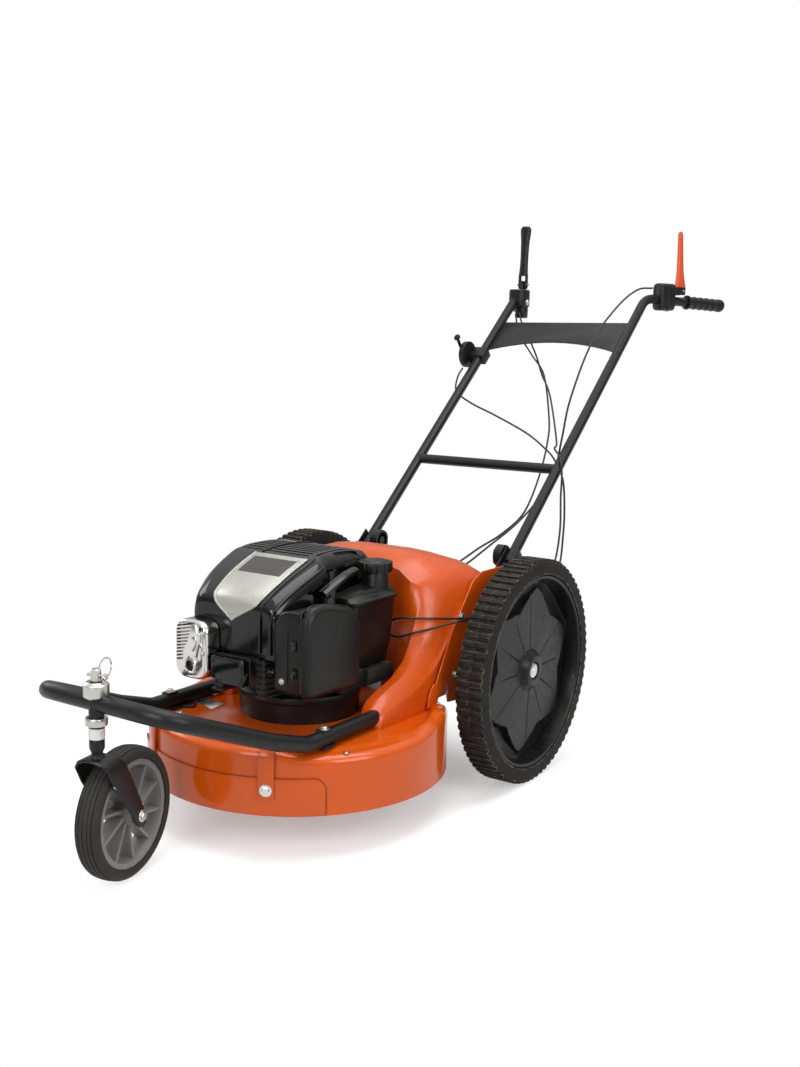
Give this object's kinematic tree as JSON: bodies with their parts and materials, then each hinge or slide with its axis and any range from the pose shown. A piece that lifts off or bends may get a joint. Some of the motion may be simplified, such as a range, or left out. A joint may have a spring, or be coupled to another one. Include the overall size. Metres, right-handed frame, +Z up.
{
  "type": "petrol lawn mower",
  "caption": "Three-wheeled petrol mower for high grass: round cutter deck, engine, belt cover, large rear wheels, front caster and fold-down handlebar.",
  "frame": {"origin": "on the ground, under the middle of the footprint", "axes": "+Z up, -Y the travel direction, +X the left side of the operator, who stands behind the mower at +Y and looks towards -Y"},
  "size_m": [0.6862, 2.075, 1.31],
  "materials": {
    "orange_paint": "gloss orange powder coat",
    "black_steel": "satin black powder coat",
    "black_plastic": "matt black",
    "gloss_black_plastic": "gloss black",
    "grey_plastic": "dark grey",
    "white_plastic": "white",
    "silver_plastic": "silver lacquer",
    "orange_plastic": "orange",
    "tyre_rubber": "worn black",
    "rubber": "black",
    "zinc": "zinc plated",
    "bright_steel": "bright",
    "steel": "machined",
    "cast_aluminium": "as cast",
    "foam": "filter foam"
  },
  "bodies": {
    "machine": {"deck_pan": "orange_paint", "front_skirt_panel": "orange_paint", "engine_mount_ring": "black_steel", "front_frame": "black_steel", "bearing_cup": "zinc", "chassis": "orange_paint", "gearbox": "cast_aluminium", "drive_belt": "rubber", "belt_cover": "orange_paint", "handle_bracket_left": "black_steel", "handle_bracket_right": "black_steel", "engine_block": "cast_aluminium", "rocker_cover": "black_plastic", "spark_plug": "steel", "muffler": "steel", "muffler_guard": "bright_steel", "carburettor": "cast_aluminium", "air_filter_base": "black_plastic", "air_filter_element": "foam", "fuel_tank": "black_plastic", "engine_shroud": "gloss_black_plastic", "shroud_panel": "silver_plastic", "drive_cable": "black_plastic", "stop_cable": "black_plastic", "clutch_cable": "black_plastic", "throttle_cable": "black_plastic"},
    "crank": {"crankshaft": "steel", "flywheel": "cast_aluminium", "blade_boss": "steel", "blade": "steel"},
    "gear_input": {"gearbox_pulley": "steel"},
    "axle": {"wheel_axle": "steel"},
    "wheel_left": {"rear_tyre_left": "tyre_rubber", "rear_rim_left": "black_plastic", "hub_cap_left": "bright_steel"},
    "wheel_right": {"rear_tyre_right": "tyre_rubber", "rear_rim_right": "black_plastic", "hub_cap_right": "bright_steel"},
    "caster": {"caster_fork": "black_steel", "height_spacer": "white_plastic", "caster_axle_bolt": "zinc"},
    "pin": {"linch_pin": "bright_steel"},
    "caster_wheel": {"caster_rim": "grey_plastic", "caster_tyre": "tyre_rubber"},
    "handle": {"handlebar": "black_steel", "handlebar_plate": "grey_plastic", "grip_left": "black_plastic", "grip_right": "black_plastic", "lever_clamp_left": "black_plastic", "lever_clamp_right": "black_plastic", "throttle_housing": "black_plastic"},
    "drive_lever": {"drive_lever": "orange_plastic"},
    "stop_lever": {"stop_lever": "black_plastic"},
    "throttle_lever": {"throttle_lever": "black_plastic"},
    "knob_left": {"fold_knob_left": "black_plastic"},
    "knob_right": {"fold_knob_right": "black_plastic"},
    "tank_cap": {"fuel_cap": "black_plastic"},
    "oil_dipstick": {"dipstick": "gloss_black_plastic"},
    "filter_lid": {"air_filter_cover": "black_plastic"},
    "starter": {"starter_grip": "black_plastic"}
  },
  "joints": [
    {"name": "crank_spin", "type": "hinge", "parent": "machine", "child": "crank", "pos_m": [0, -0.44212, 0.235], "axis": [0, 0, 1], "continuous": true},
    {"name": "gear_input_spin", "type": "hinge", "parent": "machine", "child": "gear_input", "pos_m": [0, -0.11912, 0.235], "axis": [0, 0, 1], "continuous": true},
    {"name": "axle_spin", "type": "hinge", "parent": "machine", "child": "axle", "pos_m": [0, -0.02912, 0.25], "axis": [1, 0, 0], "continuous": true},
    {"name": "wheel_left_spin", "type": "hinge", "parent": "machine", "child": "wheel_left", "pos_m": [0.309, -0.02912, 0.25], "axis": [1, 0, 0], "continuous": true},
    {"name": "wheel_right_spin", "type": "hinge", "parent": "machine", "child": "wheel_right", "pos_m": [-0.309, -0.02912, 0.25], "axis": [1, 0, 0], "continuous": true},
    {"name": "caster_swivel", "type": "hinge", "parent": "machine", "child": "caster", "pos_m": [0, -0.99212, 0.3], "axis": [0, 0, 1], "continuous": true},
    {"name": "caster_wheel_spin", "type": "hinge", "parent": "caster", "child": "caster_wheel", "pos_m": [-0.01495, -0.91863, 0.12], "axis": [0.9799, 0.1994, 0], "continuous": true},
    {"name": "linch_pin_pull", "type": "slide", "parent": "caster", "child": "pin", "axis": [0.9799, 0.1994, 0], "range_m": [0, 0.045]},
    {"name": "handle_fold", "type": "hinge", "parent": "machine", "child": "handle", "pos_m": [0, 0.08488, 0.476], "axis": [1, 0, 0], "range_deg": [-8, 120], "deforming": ["drive_cable", "stop_cable", "clutch_cable", "throttle_cable"]},
    {"name": "drive_lever_squeeze", "type": "hinge", "parent": "handle", "child": "drive_lever", "pos_m": [0.25748, 0.89491, 1.12423], "axis": [-0.8824, 0.4706, 0], "range_deg": [0, 68], "stiffness_Nm_per_rad": 0.6, "springref_deg": -22.92},
    {"name": "stop_lever_squeeze", "type": "hinge", "parent": "handle", "child": "stop_lever", "pos_m": [-0.19, 0.81288, 1.142], "axis": [-1, 0, 0], "range_deg": [0, 60], "stiffness_Nm_per_rad": 0.6, "springref_deg": -22.92},
    {"name": "throttle_turn", "type": "hinge", "parent": "handle", "child": "throttle_lever", "pos_m": [-0.247, 0.58288, 0.938], "axis": [1, 0, 0], "range_deg": [-30, 45]},
    {"name": "knob_left_turn", "type": "hinge", "parent": "machine", "child": "knob_left", "pos_m": [0.176, 0.08488, 0.476], "axis": [1, 0, 0], "range_deg": [-30, 720]},
    {"name": "knob_right_turn", "type": "hinge", "parent": "machine", "child": "knob_right", "pos_m": [-0.176, 0.08488, 0.476], "axis": [-1, 0, 0], "range_deg": [-30, 720]},
    {"name": "fuel_cap_turn", "type": "hinge", "parent": "machine", "child": "tank_cap", "pos_m": [0.116, -0.34212, 0.4925], "axis": [0, 0, 1], "range_deg": [0, 120]},
    {"name": "dipstick_pull", "type": "slide", "parent": "machine", "child": "oil_dipstick", "axis": [0, 0, 1], "range_m": [0, 0.12]},
    {"name": "filter_lid_open", "type": "hinge", "parent": "machine", "child": "filter_lid", "pos_m": [0.153, -0.54762, 0.289], "axis": [0, 1, 0], "range_deg": [0, 70]},
    {"name": "starter_pull", "type": "slide", "parent": "machine", "child": "starter", "axis": [-1, 0, 0], "range_m": [0, 0.5], "stiffness_N_per_m": 20, "springref_m": -0.25}
  ],
  "couplings": [
    {"joint": "gear_input_spin", "follows": "crank_spin", "ratio": 0.7727}
  ]
}
